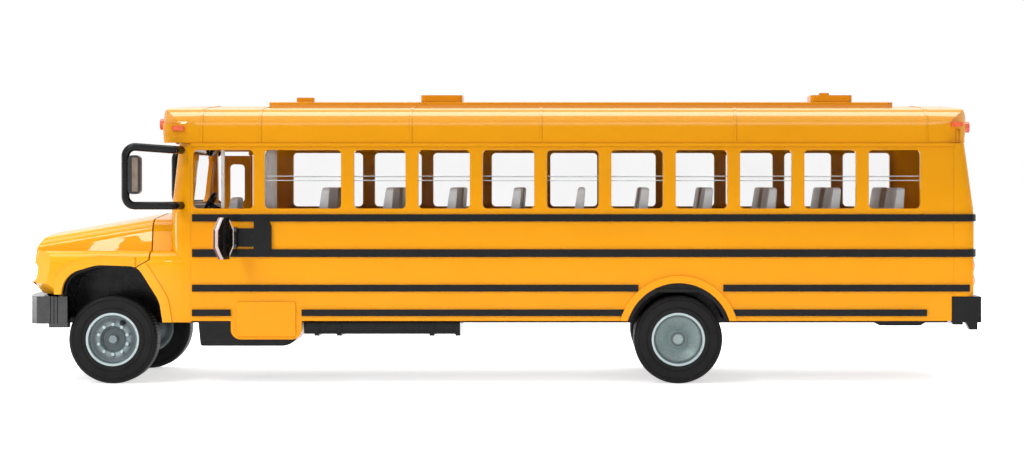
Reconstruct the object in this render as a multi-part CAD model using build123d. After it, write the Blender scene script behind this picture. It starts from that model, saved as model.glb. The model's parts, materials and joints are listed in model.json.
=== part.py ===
from build123d import *
import math
import os

os.makedirs("parts", exist_ok=True)

# A toy school bus with a tilting hood, a swinging stop sign and one entry door leaf.
# Lengths in mm. Ground at z = 0, front towards -X, driver's side towards -Y, middle at y = 0.

# Body casting
half_width = 22.5
wall = 1.0
body_front_x = -66.3
body_rear_x = 95.4
sill_z = 12.7
belt_z = 34.0
drip_z = 48.3
windshield_lean = 1.6
rear_lean = 2.0
front_corner_r = 5.0
rear_corner_r = 2.2
front_joint_x = -61.6
rear_joint_x = 91.0
overrun = 3.0
slip = 0.2

# Roof casting
roof_front_x = -68.0
roof_rear_x = 94.3
roof_corner_r = 6.0
roof_side_lean = 0.5
roof_edge_z = 55.1
roof_edge_r = 4.0
crown_z = 56.5
crown_r = 60.0
roof_end_r = 4.2
roof_brow_z = 51.2
panel_front_x = -47.8
panel_rear_x = 80.6
panel_half_width = 11.0
panel_rise = 1.0
panel_corner_r = 2.0
rib_xs = (-59.5, -47.75, -17.6, 8.4, 47.3, 85.6)
rib_width = 0.5
rib_rise = 0.12
hatch_xs = (-16.9, 64.3)
hatch_length = 8.6
hatch_width = 9.0
hatch_rise = 1.1
hatch_corner_r = 1.0
hatch_knob_length = 2.0
hatch_knob_rise = 0.6
vent_x = -43.2
vent_length = 3.6
vent_width = 3.0
vent_rise = 0.7

panel_top_z = crown_z + panel_rise

# Side windows, driver's first and then the passengers' ten
window_low_z = 35.2
window_high_z = 46.9
window_corner_r = 0.9
driver_window_x = -61.1
driver_window_length = 12.0
first_window_x = -46.85
first_window_length = 15.3
window_pitch = 12.87
second_window_x = -28.95
window_length = 10.3
window_count = 9
glass = 0.7
drip_rail_height = 0.7
drip_rail_proud = 0.35

# Windshield and rear windows
shield_low_z = 36.3
shield_high_z = 46.2
shield_half_width = 18.6
shield_post = 1.2
rear_window_low_z = 36.0
rear_window_high_z = 46.0
rear_window_inner_y = 8.6
rear_window_outer_y = 19.0
rear_door_half_width = 7.2
rear_door_low_z = 17.8
rear_door_proud = 0.4
rear_door_window_half = 5.2
rear_door_lower_window_z = (22.0, 31.5)

# Wheels and axles
front_axle_x = -77.55
rear_axle_x = 35.97
axle_z = 8.9
tyre_r = 8.9
tyre_width = 5.0
tyre_edge_r = 1.0
wheel_outer_y = 21.2
dual_gap = 0.7
rim_r = 5.35
rim_lip = 0.45
rim_disc_r = 4.6
rim_disc_depth = 0.9
rim_back_depth = 4.0
hub_recess_r = 2.15
hub_cap_r = 0.8
rear_dish_depth = 2.1
rear_hub_r = 1.65
rear_hub_cap_r = 1.0
nut_count = 10
nut_circle_r = 3.1
nut_r = 0.32
nut_height = 0.3
hand_hole_r = 0.6
hand_hole_circle_r = 3.75
axle_r = 0.9
axle_fit = 0.05

# Wheel arches
rear_arch_r = 10.6
rear_arch_z = 9.7
arch_band = 1.5
arch_band_proud = 0.55

# Skirt box on the driver's side
skirt_front_x = -53.6
skirt_rear_x = -39.4
skirt_low_z = 9.0
skirt_corner_r = 2.0
skirt_door_margin = 1.2
skirt_door_top_z = 16.6
skirt_door_proud = 0.3

# Raised rails along the sides: low z, high z, then runs from x to x
rail_proud = 0.4
rail_front_x = -61.3
rail_wrap_y = 15.0
rail_rows = (
    (32.6, 34.05, ((rail_front_x, 98.0),)),
    (25.5, 27.05, ((rail_front_x, 98.0),)),
    (18.6, 19.95, ((rail_front_x, 27.9), (44.9, 94.2))),
    (13.7, 15.0, ((rail_front_x, -52.5), (-40.6, 26.6), (46.3, 85.6))),
)

# Cowl, rear halves of the front fenders and the hood
hood_gap = 0.3
cowl_x = -69.9
cowl_top_z = 34.1
cowl_edge_z = 32.9
cowl_half_width = 17.6
cowl_foot_half_width = 19.8
cowl_foot_z = 23.0
hood_shoulder_r = 3.2
hood_wall = 1.1
nose_x = -94.6
nose_top_z = 29.3
nose_edge_z = 28.4
nose_half_width = 14.6
nose_foot_half_width = 17.6
fender_half_width = 22.2
fender_inner_y = 12.0
fender_top_z = 26.6
fender_edge_r = 2.8
fender_rear_z = 12.4
flare_half_width = 22.5
flare_band = 1.9
bulge_half_width = 9.0
bulge_rise = 0.5
# Nose outlines from below upwards: height, middle of the front, setback of the corner
nose_rows = (
    (18.0, -94.3, 4.0),
    (20.2, -96.3, 3.4),
    (27.4, -95.6, 3.8),
    (29.0, -94.4, 4.2),
    (35.0, -87.5, 4.4),
)
nose_corner_y = 17.0
# Front arch outline: x, z, corner radius
front_arch_rows = (
    (-88.4, 10.0, 0),
    (-87.1, 21.9, 4.5),
    (-80.5, 23.9, 8.0),
    (-72.3, 23.6, 3.0),
    (-67.9, 16.6, 6.0),
    (-66.9, 10.0, 0),
)
gap_low_x = -72.5
gap_low_z = 23.4
gap_high_z = 24.9

# Hood hinge
hinge_x = -94.0
hinge_z = 19.9
hinge_pin_r = 0.4
hinge_ear_r = 0.75
hinge_lug_r = 0.95
hinge_lug_y = 4.2
hinge_lug_width = 1.4
hinge_ear_width = 1.4
hinge_fit = 0.05

# Grille and headlamps
grille_half_width = 9.6
grille_low_z = 20.8
grille_high_z = 26.6
grille_depth = 0.5
grille_bar_count = 5
grille_bar = 0.5
headlamp_y = 14.6
headlamp_half_width = 3.6
headlamp_low_z = 20.4
headlamp_high_z = 24.0
headlamp_r = 1.1

# Bumpers
bumper_x = -96.7
bumper_bow = 2.9
bumper_half_width = 22.0
bumper_top_z = 17.6
bumper_low_z = 12.1
bumper_step_z = 11.3
bumper_depth = 2.6
bumper_end_x = -86.4
bumper_step_x = -90.2
bumper_rib_count = 3
bumper_rib = 0.35
rear_bumper_x = 96.5
rear_bumper_front_x = 90.6
rear_bumper_top_z = 17.6
rear_bumper_low_z = 12.4
rear_bumper_half_width = 22.6
rear_bumper_wall = 1.3
tow_low_z = 10.8
tow_half_width = 4.5
tow_front_x = 93.4
tow_rear_x = 96.0

# Chassis and what hangs from it
chassis_half_width = 9.0
chassis_low_z = 11.5
chassis_top_z = 15.4
chassis_front_x = -93.0
chassis_rear_x = 92.0
bearing_length = 6.0
bearing_low_z = 7.2
floor_half_width = 20.6
floor_top_z = 20.5
floor_thick = 1.1
floor_low_z = floor_top_z - floor_thick
floor_front_x = -64.6
floor_rear_x = 92.6
post_length = 5.0
post_xs = (-55.0, -10.0, 10.0, 75.0)
well_wall = 0.8
well_outer_y = 20.3
well_spread = 0.3
well_rear_x = -67.8
rear_well_top_z = 19.2
tank_front_x = -60.4
tank_rear_x = -39.2
tank_low_z = 7.6
tank_outer_y = 21.0
tank_inner_y = 10.4
tank_corner_r = 3.6
muffler_front_x = -39.2
muffler_rear_x = -7.9
muffler_low_z = 9.9
muffler_top_z = 13.3
muffler_outer_y = 20.9
muffler_inner_y = 9.0
muffler_r = 1.2
strap_xs = (-37.1, -32.6, -14.0, -8.8)
strap_width = 1.0
strap_drop = 0.35
spare_front_x = 77.0
spare_rear_x = 87.4
spare_low_z = 10.9
engine_front_x = -90.0
engine_rear_x = -71.5
engine_half_width = 6.0
engine_top_z = 24.6

# Inside
seat_first_x = -48.4
seat_count = 11
seat_inner_y = 4.2
seat_outer_y = 19.6
seat_top_z = 39.4
seat_back = 2.0
seat_back_top = 1.5
seat_lean = 1.4
cushion_length = 6.6
cushion_top_z = 27.4
seat_corner_r = 1.2
driver_seat_x = -54.6
driver_seat_y = -12.0
driver_seat_half_width = 3.6
driver_seat_top_z = 37.4
wheel_x = -59.6
wheel_z = 36.0
wheel_ring_r = 2.3
wheel_ring_tube_r = 0.4
wheel_tilt = 62
column_r = 0.45
dash_depth = 2.8
dash_top_z = 35.9
dash_low_z = 31.0
partition_x = -47.7
partition_thick = 0.8
partition_high_z = 47.2

# Mirrors
mirror_tube_r = 0.8
mirror_front_x = -74.6
mirror_root_x = -63.6
mirror_y = 26.6
mirror_top_z = 47.6
mirror_low_z = 35.8
mirror_bend_r = 1.9
mirror_root_top_z = 46.9
mirror_plate_x = -73.2
mirror_plate_length = 2.5
mirror_plate_low_z = 38.1
mirror_plate_high_z = 45.8
mirror_plate_thick = 0.9
mirror_foot_r = 1.1

# Stop sign
sign_flats = 8.2
sign_thick = 0.8
sign_mid_z = 29.4
sign_hinge_x = -52.7
sign_hinge_y = -24.45
sign_open_angle = 104
sign_root = 0.95
sign_pin_r = 0.3
sign_knuckle_r = 0.7
sign_knuckle_height = 2.0
sign_lug_height = 0.95
sign_fit = 0.05
bracket_rear_x = -45.4
bracket_boss_x = -48.9
bracket_arm_height = 3.7
bracket_height = 7.6
bracket_thick = 0.75

# Entry door leaf on the kerb side
door_opening_front_x = -63.3
door_opening_rear_x = -55.7
door_opening_low_z = 13.6
door_opening_high_z = 47.2
door_front_x = -62.1
door_hinge_x = -56.3
door_thick = 0.8
door_barrel_r = 0.4
door_low_z = 13.9
door_high_z = 46.3
door_pin_r = 0.25
door_pin_length = 0.8
door_fit = 0.05
door_window_margin = 1.3
door_window_z = ((36.0, 44.4), (17.0, 32.5))

# Lamps
marker_length = 2.3
marker_height = 0.9
marker_proud = 0.3
marker_rows = ((-65.3, 50.8), (90.5, 51.6))
warning_r = 1.15
warning_proud = 0.9
warning_ys = (11.5, 15.6)
front_warning_z = 52.2
rear_warning_z = 51.6
tail_r = 1.2
tail_proud = 0.55
tail_rows = ((17.2, 23.6), (17.2, 20.6))


def rounded(rows):
    """A face from rows of across, up and corner radius."""
    face = make_face(Polyline(*[(across, up) for across, up, radius in rows], close=True))
    for across, up, radius in rows:
        if radius > 0:
            face = fillet(face.vertices().sort_by_distance((across, up))[0], radius)
    return face


def across(face, y_from, y_to):
    """A side outline of x and z, extruded between two y."""
    return Pos(0, y_from, 0) * extrude(Plane.XZ * face, amount=y_to - y_from, dir=(0, 1, 0))


def along(face, x_from, x_to):
    """A cross outline of y and z, extruded between two x."""
    return Pos(x_from, 0, 0) * extrude(Plane.YZ * face, amount=x_to - x_from, dir=(1, 0, 0))


def upward(face, z_from, z_to):
    """A plan outline of x and y, extruded between two z."""
    return Pos(0, 0, z_from) * extrude(face, amount=z_to - z_from, dir=(0, 0, 1))


def rect(low_a, high_a, low_b, high_b, radius=0):
    """A rectangle between two corners, its corners rounded alike."""
    return rounded([(low_a, low_b, radius), (high_a, low_b, radius), (high_a, high_b, radius), (low_a, high_b, radius)])


def block(x_from, x_to, y_from, y_to, z_from, z_to):
    """A straight block between two corners."""
    return upward(rect(x_from, x_to, y_from, y_to), z_from, z_to)


def bar(start, end, radius):
    """A round bar between two points."""
    start, end = Vector(*start), Vector(*end)
    return extrude(Plane(start, z_dir=end - start) * Circle(radius), amount=(end - start).length)


def swapped(shape):
    """The same shape on the other side of the bus."""
    return mirror(shape, about=Plane.XZ)


def joined(shapes):
    """One shape fused from several."""
    shapes = list(shapes)
    whole = shapes[0]
    for shape in shapes[1:]:
        whole = whole + shape
    return whole


def save(shape, name):
    """Write one sub-part's solids to its own file."""
    solids = shape.solids()
    export_step(solids[0] if len(solids) == 1 else Compound(children=list(solids)), f"parts/{name}.step")


# Body casting, split where its panels meet

def body_plan(front_x, rear_x, inset):
    """The body's outline seen from above, inset by a wall."""
    side = half_width - inset
    return rounded([
        (front_x + inset, -side, front_corner_r - inset),
        (rear_x - inset, -side, rear_corner_r - inset),
        (rear_x - inset, side, rear_corner_r - inset),
        (front_x + inset, side, front_corner_r - inset),
    ])


def body_form(inset, low_z):
    """The body up to the drip rail, upright to the belt and leaning in above it at both ends."""
    belt = body_plan(body_front_x, body_rear_x, inset)
    head = body_plan(body_front_x + windshield_lean, body_rear_x - rear_lean, inset)
    return upward(belt, low_z, belt_z) + loft([Pos(0, 0, belt_z) * belt, Pos(0, 0, drip_z) * head], ruled=True)


def roof_section(rise):
    """The roof's cross outline, with sides that lean in, rounded edges and a crowned top."""
    edge = half_width - roof_side_lean
    return rounded([
        (-half_width - rise, drip_z, 0),
        (half_width + rise, drip_z, 0),
        (edge + rise, roof_edge_z + rise, roof_edge_r + rise),
        (0, crown_z + rise, crown_r),
        (-edge - rise, roof_edge_z + rise, roof_edge_r + rise),
    ])


def roof_form(rise):
    """The whole roof as a solid, its ends rounded in side view and in plan."""
    top = crown_z + rise + overrun
    front = roof_front_x - rise
    rear = roof_rear_x + rise
    ends = rounded([
        (body_front_x + windshield_lean - rise, drip_z, 0),
        (body_rear_x - rear_lean + rise, drip_z, 0),
        (rear, roof_brow_z, 0),
        (rear, crown_z + rise, roof_end_r),
        (front, crown_z + rise, roof_end_r),
        (front, roof_brow_z, 0),
    ])
    plan = rect(front, rear, -half_width - rise, half_width + rise, roof_corner_r)
    return along(roof_section(rise), front, rear) & across(ends, -half_width - rise, half_width + rise) & upward(plan, drip_z, top)


def window_cut(x_from, x_to, z_from, z_to, y_sign, radius=window_corner_r):
    """A window opening right through one side wall."""
    inner, outer = half_width - wall - overrun, half_width + overrun
    cut = across(rect(x_from, x_to, z_from, z_to, radius), inner, outer)
    return cut if y_sign > 0 else swapped(cut)


passenger_windows = [(first_window_x, first_window_x + first_window_length)] + [
    (second_window_x + i * window_pitch, second_window_x + i * window_pitch + window_length)
    for i in range(window_count)
]
driver_window = (driver_window_x, driver_window_x + driver_window_length)

body_shell = body_form(0, sill_z) - body_form(wall, sill_z - overrun)


def rear_arch(radius, y_from, y_to):
    """A round rear wheel arch through a side."""
    return bar((rear_axle_x, y_from, rear_arch_z), (rear_axle_x, y_to, rear_arch_z), radius)


def side_wall(y_sign):
    """One side of the body with its windows, wheel arch, drip rail and arch band."""
    outer = half_width + overrun
    side = body_shell & block(front_joint_x, rear_joint_x, 0, outer, sill_z, drip_z)
    for x_from, x_to in passenger_windows:
        side = side - window_cut(x_from, x_to, window_low_z, window_high_z, 1)
    side = side - rear_arch(rear_arch_r, half_width - wall - overrun, outer)
    band = rear_arch(rear_arch_r + arch_band, half_width - wall, half_width + arch_band_proud)
    band = band - rear_arch(rear_arch_r, half_width - wall - overrun, outer)
    band = band & block(body_front_x, body_rear_x, 0, outer, sill_z, drip_z)
    rail = block(front_joint_x, rear_joint_x, half_width - wall, half_width + drip_rail_proud,
                 drip_z - drip_rail_height, drip_z)
    side = side + band + rail
    return side if y_sign > 0 else swapped(side)


def skirt_box():
    """The box below the driver's side wall, with its raised lid."""
    outline = rounded([
        (skirt_front_x, sill_z + wall, 0),
        (skirt_front_x, skirt_low_z, skirt_corner_r),
        (skirt_rear_x, skirt_low_z, skirt_corner_r),
        (skirt_rear_x, sill_z + wall, 0),
    ])
    lid = rect(skirt_front_x + skirt_door_margin, skirt_rear_x - skirt_door_margin,
               skirt_low_z + skirt_door_margin / 2, skirt_door_top_z, skirt_door_margin / 2)
    return across(outline, -half_width, wall - half_width) + across(lid, -half_width - skirt_door_proud, wall - half_width)


side_left = side_wall(-1) - window_cut(*driver_window, window_low_z, window_high_z, -1) + skirt_box()
door_cut = across(rect(door_opening_front_x, door_opening_rear_x, door_opening_low_z, door_opening_high_z),
                  half_width - wall - overrun, half_width + overrun)
door_pin_cut = bar((door_hinge_x, half_width - wall / 2, door_low_z - door_pin_length - door_fit),
                   (door_hinge_x, half_width - wall / 2, door_high_z + door_pin_length + door_fit + slip),
                   door_pin_r + door_fit)
side_right = side_wall(1) - door_cut
save(side_left, "body_side_left")

# The door's top pin stands in a lug that closes the gap above the leaf
door_lug = block(door_hinge_x - door_barrel_r, door_opening_rear_x, half_width - wall, half_width,
                 door_high_z + slip, door_opening_high_z)
door_sill_lug = block(door_hinge_x - door_barrel_r, door_opening_rear_x, half_width - wall, half_width,
                      door_opening_low_z - wall, door_low_z - slip)
save(side_right + door_lug + door_sill_lug - door_pin_cut, "body_side_right")

roof = roof_form(0) - roof_form(-wall)
roof = roof - block(body_front_x + windshield_lean + wall, body_rear_x - rear_lean - wall,
                    wall - half_width, half_width - wall, drip_z - overrun, roof_brow_z)
raised = along(roof_section(panel_rise), panel_front_x, panel_rear_x)
raised = raised & upward(rect(panel_front_x, panel_rear_x, -panel_half_width, panel_half_width, panel_corner_r),
                         roof_edge_z, crown_z + panel_rise + overrun)
ribs = joined(
    roof_form(rib_rise) & block(x - rib_width / 2, x + rib_width / 2, -half_width - overrun, half_width + overrun,
                                drip_z, crown_z + overrun)
    for x in rib_xs) - roof_form(-wall / 2)
save(roof + (raised - roof_form(-wall)) + ribs, "body_roof")


def hood_section(edge_half, edge_z, top_z, foot_half, foot_z, inset):
    """A cross outline of the hood: sides that lean in, rounded shoulders and a low crown."""
    return rounded([
        (inset - foot_half, foot_z, 0),
        (foot_half - inset, foot_z, 0),
        (edge_half - inset, edge_z - inset, hood_shoulder_r - inset / 2),
        (0, top_z - inset, 0),
        (inset - edge_half, edge_z - inset, hood_shoulder_r - inset / 2),
    ])


def cowl_section(inset, foot_z):
    """The cross outline where hood and cowl meet."""
    return hood_section(cowl_half_width, cowl_edge_z, cowl_top_z, cowl_foot_half_width, foot_z, inset)


def fender_section(inset, low_z):
    """The cross outline of one front fender, on the kerb side."""
    return rounded([
        (fender_inner_y, low_z, 0),
        (fender_half_width - inset, low_z, 0),
        (fender_half_width - inset, fender_top_z - inset, fender_edge_r),
        (fender_inner_y, fender_top_z - inset, 0),
    ])


def both(shape):
    """A kerb-side shape together with its mirror image."""
    return shape + swapped(shape)


front_arch = rounded(front_arch_rows)
arch_ring = offset(front_arch, flare_band, kind=Kind.INTERSECTION)

# The parting line between hood and body, seen from the side
body_side_of_gap = rounded([
    (cowl_x, cowl_top_z + overrun, 0),
    (cowl_x, gap_high_z, 0),
    (gap_low_x, gap_low_z, 0),
    (gap_low_x, sill_z - overrun, 0),
    (front_joint_x, sill_z - overrun, 0),
    (front_joint_x, cowl_top_z + overrun, 0),
])


def flare(y_from, y_to):
    """The raised band round the front wheel arch, on the kerb side."""
    return across(arch_ring, y_from, y_to)


front = body_shell & block(body_front_x - overrun, front_joint_x, -half_width, half_width, fender_rear_z, drip_z)
front_fill = upward(body_plan(body_front_x, body_rear_x, 0), fender_rear_z, belt_z)
cowl = along(cowl_section(0, cowl_foot_z), cowl_x, body_front_x + front_corner_r)
cowl_bay = along(cowl_section(hood_wall, cowl_foot_z - overrun), cowl_x - overrun, body_front_x)
fender_rear = along(fender_section(0, fender_rear_z), gap_low_x, body_front_x + front_corner_r)
fender_bay = along(fender_section(hood_wall, fender_rear_z - overrun), gap_low_x - overrun, body_front_x)
inside = body_form(wall, sill_z - overrun)
cowl_parts = (cowl - cowl_bay + both(fender_rear - fender_bay)) & across(body_side_of_gap, -half_width, half_width)
flare_rear = both((flare(half_width - wall - hood_wall, flare_half_width) & across(body_side_of_gap, 0, half_width))
                  & block(gap_low_x, body_front_x + front_corner_r / 2, 0, half_width, fender_rear_z, fender_top_z))
front = front + (cowl_parts + flare_rear - inside) - both(across(front_arch, fender_inner_y - overrun, half_width + overrun))
shield_cut = along(rect(-shield_half_width, shield_half_width, shield_low_z, shield_high_z, window_corner_r * 2),
                   body_front_x - overrun, body_front_x + front_corner_r)
front = front - (shield_cut - block(body_front_x - overrun, front_joint_x, -shield_post / 2, shield_post / 2, sill_z, drip_z))
front = front - window_cut(*driver_window, window_low_z, window_high_z, -1) - door_cut
front = front - block(cowl_x - overrun, front_joint_x + overrun, -chassis_half_width - slip, chassis_half_width + slip,
                      fender_rear_z - overrun, chassis_top_z + slip)
save(front, "body_front")

rear = body_shell & block(rear_joint_x, body_rear_x + overrun, -half_width, half_width, sill_z, drip_z)
rear_leaf = along(rect(-rear_door_half_width, rear_door_half_width, rear_door_low_z, drip_z - drip_rail_height,
                       window_corner_r), body_rear_x - wall - rear_lean, body_rear_x + overrun)
rear_relief = (body_form(-rear_door_proud, sill_z) - body_form(wall / 2, sill_z - overrun)) & rear_leaf
rear_cuts = joined(
    along(rect(y_from, y_to, z_from, z_to, window_corner_r), rear_joint_x - overrun, body_rear_x + overrun)
    for y_from, y_to, z_from, z_to in (
        (-rear_window_outer_y, -rear_window_inner_y, rear_window_low_z, rear_window_high_z),
        (rear_window_inner_y, rear_window_outer_y, rear_window_low_z, rear_window_high_z),
        (-rear_door_window_half, rear_door_window_half, rear_window_low_z, rear_window_high_z),
        (-rear_door_window_half, rear_door_window_half, *rear_door_lower_window_z),
    ))
save(rear + rear_relief - rear_cuts, "body_rear")


# Hood, tilting about a pin above the bumper

def nose_form(inset, low_z):
    """The bowed and sloping front that trims the hood, lofted through plan outlines."""
    sections = []
    for i, (z, front_x, setback) in enumerate(nose_rows):
        height = low_z if i == 0 else z
        corner_y = nose_corner_y - inset
        outline = (
            ThreePointArc((front_x + setback * 0.5 + inset, -corner_y), (front_x + inset, 0),
                          (front_x + setback * 0.5 + inset, corner_y))
            + Line((front_x + setback * 0.5 + inset, corner_y), (front_x + setback * 2 + inset, half_width + wall))
            + Line((front_x + setback * 2 + inset, half_width + wall), (body_front_x, half_width + wall))
            + Line((body_front_x, half_width + wall), (body_front_x, -half_width - wall))
            + Line((body_front_x, -half_width - wall), (front_x + setback * 2 + inset, -half_width - wall))
            + Line((front_x + setback * 2 + inset, -half_width - wall), (front_x + setback * 0.5 + inset, -corner_y))
        )
        sections.append(Pos(0, 0, height) * make_face(outline))
    return loft(sections, ruled=True)


def hood_form(inset, low_z):
    """The hood's centre and both fenders as a solid, inset by a wall."""
    rear_x = cowl_x - hood_gap if inset == 0 else cowl_x + overrun
    centre = loft([
        Plane.YZ.offset(nose_x - overrun) * hood_section(nose_half_width, nose_edge_z, nose_top_z,
                                                         nose_foot_half_width, low_z, inset),
        Plane.YZ.offset(rear_x) * hood_section(cowl_half_width, cowl_edge_z, cowl_top_z,
                                               cowl_foot_half_width, low_z, inset),
    ], ruled=True)
    fender = along(fender_section(inset, low_z), nose_x - overrun, rear_x)
    return (centre + both(fender)) & nose_form(inset, low_z)


hood_low_z = nose_rows[0][0]
hood_side_of_gap = rounded([
    (nose_x - overrun, hood_low_z, 0),
    (gap_low_x - hood_gap, hood_low_z, 0),
    (gap_low_x - hood_gap, gap_low_z, 0),
    (cowl_x - hood_gap, gap_high_z, 0),
    (cowl_x - hood_gap, cowl_top_z + overrun, 0),
    (nose_x - overrun, cowl_top_z + overrun, 0),
])
flare_front = both(flare(fender_half_width - hood_wall, flare_half_width)
                   & block(front_arch_rows[1][0] - flare_band, gap_low_x - hood_gap, 0, half_width, hood_low_z, fender_top_z))
hood_outer = hood_form(0, hood_low_z) + flare_front
hood = hood_outer - hood_form(hood_wall, hood_low_z - overrun)
hood = hood & across(hood_side_of_gap, -half_width, half_width)
hood = hood - both(across(front_arch, fender_inner_y - overrun, half_width + overrun))


def hinge_barrel(radius, y_from, y_to):
    """A length of cylinder round the hood's hinge line."""
    return bar((hinge_x, y_from, hinge_z), (hinge_x, y_to, hinge_z), radius)


lug_outer_y = hinge_lug_y + hinge_lug_width
ear_inner_y = lug_outer_y + slip
ear_outer_y = ear_inner_y + hinge_ear_width
lug_web = block(nose_rows[1][1] + hood_wall / 2, hinge_x, hinge_lug_y, lug_outer_y,
                hinge_z - hinge_ear_r, hinge_z + hinge_lug_r)
lugs = both(hinge_barrel(hinge_lug_r, hinge_lug_y, lug_outer_y) + lug_web)
ear_slot = both(block(nose_x - overrun, hinge_x + 4 * hinge_ear_r, ear_inner_y - slip, ear_outer_y + slip,
                      hood_low_z - overrun, hinge_z + slip))
hood = hood - ear_slot + lugs - hinge_barrel(hinge_pin_r + hinge_fit, -half_width, half_width)
grille_cut = block(nose_x - overrun, nose_rows[2][1] + grille_depth + hood_wall, -grille_half_width, grille_half_width,
                   grille_low_z, grille_high_z)
lamp_outline = rect(headlamp_y - headlamp_half_width, headlamp_y + headlamp_half_width,
                    headlamp_low_z, headlamp_high_z, headlamp_r)
lamp_cut = both(along(lamp_outline, nose_x - overrun, nose_x + overrun * 2))
hood_skin = hood_form(0, hood_low_z) - hood_form(hood_wall / 2, hood_low_z - overrun)
grille_pocket = hood_skin & grille_cut
lamp_pocket = hood_skin & lamp_cut
save(hood - grille_pocket - lamp_pocket, "hood")

grille_bars = joined(
    block(nose_x - overrun, nose_x + overrun * 2, -grille_half_width, grille_half_width, z - grille_bar / 2, z + grille_bar / 2)
    for z in [grille_low_z + (i + 1) * (grille_high_z - grille_low_z) / (grille_bar_count + 1)
              for i in range(grille_bar_count)])
grille_back = (hood_form(hood_wall / 4, hood_low_z) - hood_form(hood_wall / 2, hood_low_z - overrun)) & grille_cut
save(grille_back + (grille_pocket & grille_bars), "grille")
save(lamp_pocket, "headlamps")

pin = hinge_barrel(hinge_pin_r, -ear_outer_y, ear_outer_y)


# Bumpers

def bumper_plan(inset):
    """The bowed front bumper's outline seen from above, its ends turned back."""
    front = bumper_x + inset
    side = bumper_half_width - inset
    corner_x = front + bumper_bow
    turn = bumper_depth / 2
    outline = (
        ThreePointArc((corner_x, -side + turn), (front, 0), (corner_x, side - turn))
        + Line((corner_x, side - turn), (corner_x + turn, side))
        + Line((corner_x + turn, side), (bumper_end_x, side))
        + Line((bumper_end_x, side), (bumper_end_x, -side))
        + Line((bumper_end_x, -side), (corner_x + turn, -side))
        + Line((corner_x + turn, -side), (corner_x, -side + turn))
    )
    return make_face(outline)


bumper = upward(bumper_plan(0), bumper_low_z, bumper_top_z) - upward(bumper_plan(bumper_depth), bumper_low_z - overrun, bumper_top_z + overrun)
bumper_end = upward(bumper_plan(bumper_rib), bumper_step_z, bumper_low_z) - upward(
    bumper_plan(bumper_depth), bumper_step_z - overrun, bumper_top_z + overrun)
bumper = bumper + (bumper_end & block(bumper_step_x, bumper_end_x, -half_width, half_width, bumper_step_z, bumper_top_z))
for i in range(bumper_rib_count):
    groove_x = bumper_step_x + (2 * i + 1) * bumper_rib
    groove = block(groove_x, groove_x + bumper_rib, bumper_half_width - bumper_rib, bumper_half_width + overrun,
                   bumper_low_z, bumper_top_z)
    bumper = bumper - both(groove)
save(bumper, "front_bumper")

rear_bumper = block(rear_bumper_front_x, rear_bumper_x, -rear_bumper_half_width, rear_bumper_half_width,
                    rear_bumper_low_z, rear_bumper_top_z)
rear_bumper = rear_bumper - upward(body_plan(body_front_x, body_rear_x, 0), rear_bumper_low_z + rear_bumper_wall,
                                   rear_bumper_top_z + overrun)
rear_bumper = rear_bumper - body_form(0, sill_z - overrun)
tow = rounded([
    (tow_front_x - wall, rear_bumper_low_z + wall, 0),
    (tow_front_x + wall / 2, tow_low_z, 0),
    (tow_rear_x, tow_low_z, 0),
    (tow_rear_x - wall / 2, rear_bumper_low_z + wall, 0),
])
rear_bumper = rear_bumper + (across(tow, -tow_half_width, tow_half_width)
                             - block(tow_front_x - overrun, tow_rear_x + overrun, -tow_half_width, tow_half_width,
                                     sill_z, rear_bumper_top_z))
save(rear_bumper, "rear_bumper")


# Raised rails, wrapped round the rear corners

def rails(y_sign):
    """All raised rails of one side."""
    band = body_form(-rail_proud, sill_z) - body_form(0, sill_z - overrun)
    pieces = []
    for z_from, z_to, runs in rail_rows:
        for x_from, x_to in runs:
            rows = band & block(x_from, x_to, 0, half_width + overrun, z_from, z_to)
            pieces.append(rows - block(x_from, x_to, 0, rail_wrap_y, z_from, z_to))
    whole = joined(pieces) - rear_arch(rear_arch_r + arch_band, 0, half_width + overrun)
    return whole if y_sign > 0 else swapped(whole)


save(rails(-1) - across(rect(skirt_front_x, skirt_rear_x, skirt_low_z, skirt_door_top_z), -half_width - overrun, 0), "rub_rails_left")
save(rails(1) - door_cut, "rub_rails_right")

# Chassis

chassis = block(chassis_front_x, chassis_rear_x, -chassis_half_width, chassis_half_width, chassis_low_z, chassis_top_z)
posts = joined(block(x, x + post_length, -chassis_half_width / 2, chassis_half_width / 2, chassis_top_z, floor_low_z)
               for x in post_xs)
bearings = joined(block(x - bearing_length / 2, x + bearing_length / 2, -chassis_half_width, chassis_half_width,
                        bearing_low_z, chassis_low_z) for x in (front_axle_x, rear_axle_x))
axle_bores = joined(bar((x, -half_width, axle_z), (x, half_width, axle_z), axle_r + axle_fit)
                    for x in (front_axle_x, rear_axle_x))
ears = both(hinge_barrel(hinge_ear_r, ear_inner_y, ear_outer_y)
            + block(hinge_x + hinge_ear_r / 2, hinge_x + hinge_ear_r * 3, ear_inner_y, ear_outer_y, chassis_low_z, hinge_z))
spare = across(rounded([
    (spare_front_x, chassis_low_z, 0),
    (spare_front_x + wall, spare_low_z, 0),
    (spare_rear_x - wall, spare_low_z, 0),
    (spare_rear_x, chassis_low_z, 0),
]), -chassis_half_width, chassis_half_width)
save(chassis + posts + bearings + ears + pin + spare - axle_bores, "chassis")


def front_wheel_well():
    """The liner above the kerb-side front wheel, following the arch, closed towards the engine."""
    outer = offset(front_arch, well_spread)
    inner = offset(front_arch, well_spread - well_wall)
    liner = across(outer, chassis_half_width, well_outer_y)
    liner = liner - across(inner, chassis_half_width + well_wall, well_outer_y + overrun)
    return liner & block(nose_x, well_rear_x, 0, well_outer_y, sill_z, fender_top_z)


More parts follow.
